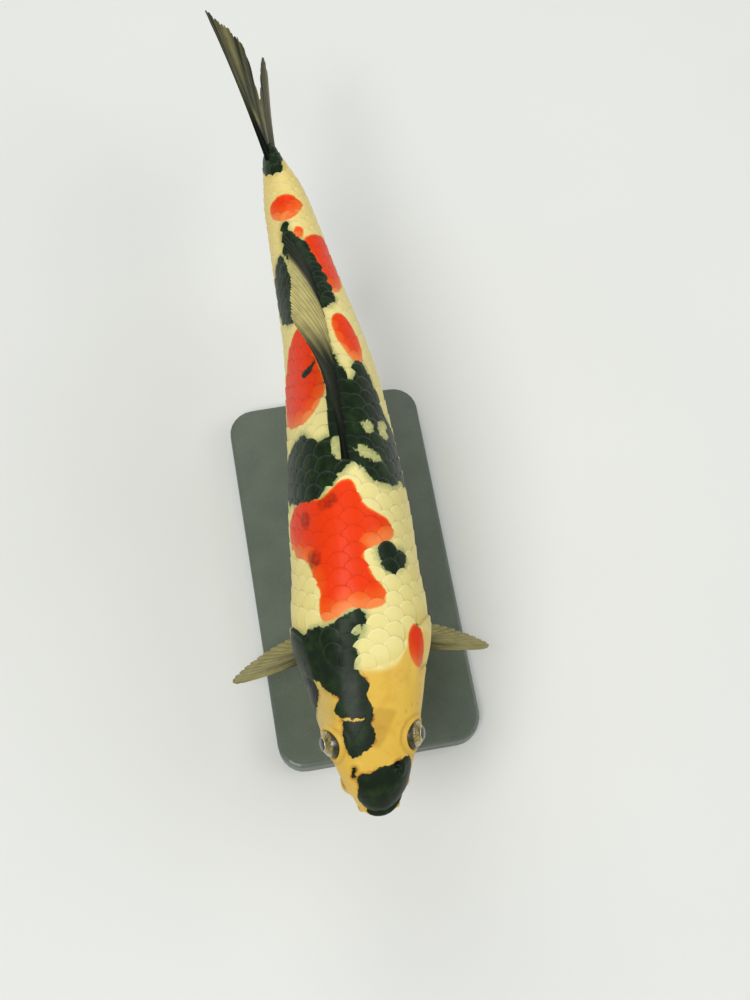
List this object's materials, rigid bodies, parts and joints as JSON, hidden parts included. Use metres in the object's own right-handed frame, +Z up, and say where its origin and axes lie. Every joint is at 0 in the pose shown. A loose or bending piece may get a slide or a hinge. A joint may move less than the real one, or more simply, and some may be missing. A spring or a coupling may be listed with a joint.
{
  "type": "koi carp display model",
  "caption": "Life-size still model of a young koi carp in a gentle swimming bend, held level over a small flat stand by two short rods.",
  "frame": {"origin": "middle of the stand base's underside", "axes": "+Z up; +Y from the fish's head to its tail; +X to the fish's left side"},
  "size_m": [0.0965, 0.3151, 0.1276],
  "materials": {
    "skin": "wet-looking satin skin in white, red and black",
    "fin": "satin, ribbed by fin rays",
    "eye": "polished",
    "stand_lacquer": "satin lacquer",
    "stand_steel": "satin"
  },
  "bodies": {
    "root": {"head": "skin", "lower_jaw": "skin", "upper_lip": "skin", "gill_cover_right": "skin", "gill_cover_left": "skin", "barbel_front_right": "skin", "barbel_front_left": "skin", "barbel_corner_right": "skin", "barbel_corner_left": "skin", "eye_right": "eye", "eye_left": "eye", "trunk": "skin", "tail": "skin", "dorsal_fin": "fin", "caudal_fin": "fin", "anal_fin": "fin", "pelvic_fin_right": "fin", "pelvic_fin_left": "fin", "pectoral_fin_right": "fin", "pectoral_fin_left": "fin", "stand_base": "stand_lacquer", "stand_rod_front": "stand_steel", "stand_rod_rear": "stand_steel"}
  },
  "joints": []
}
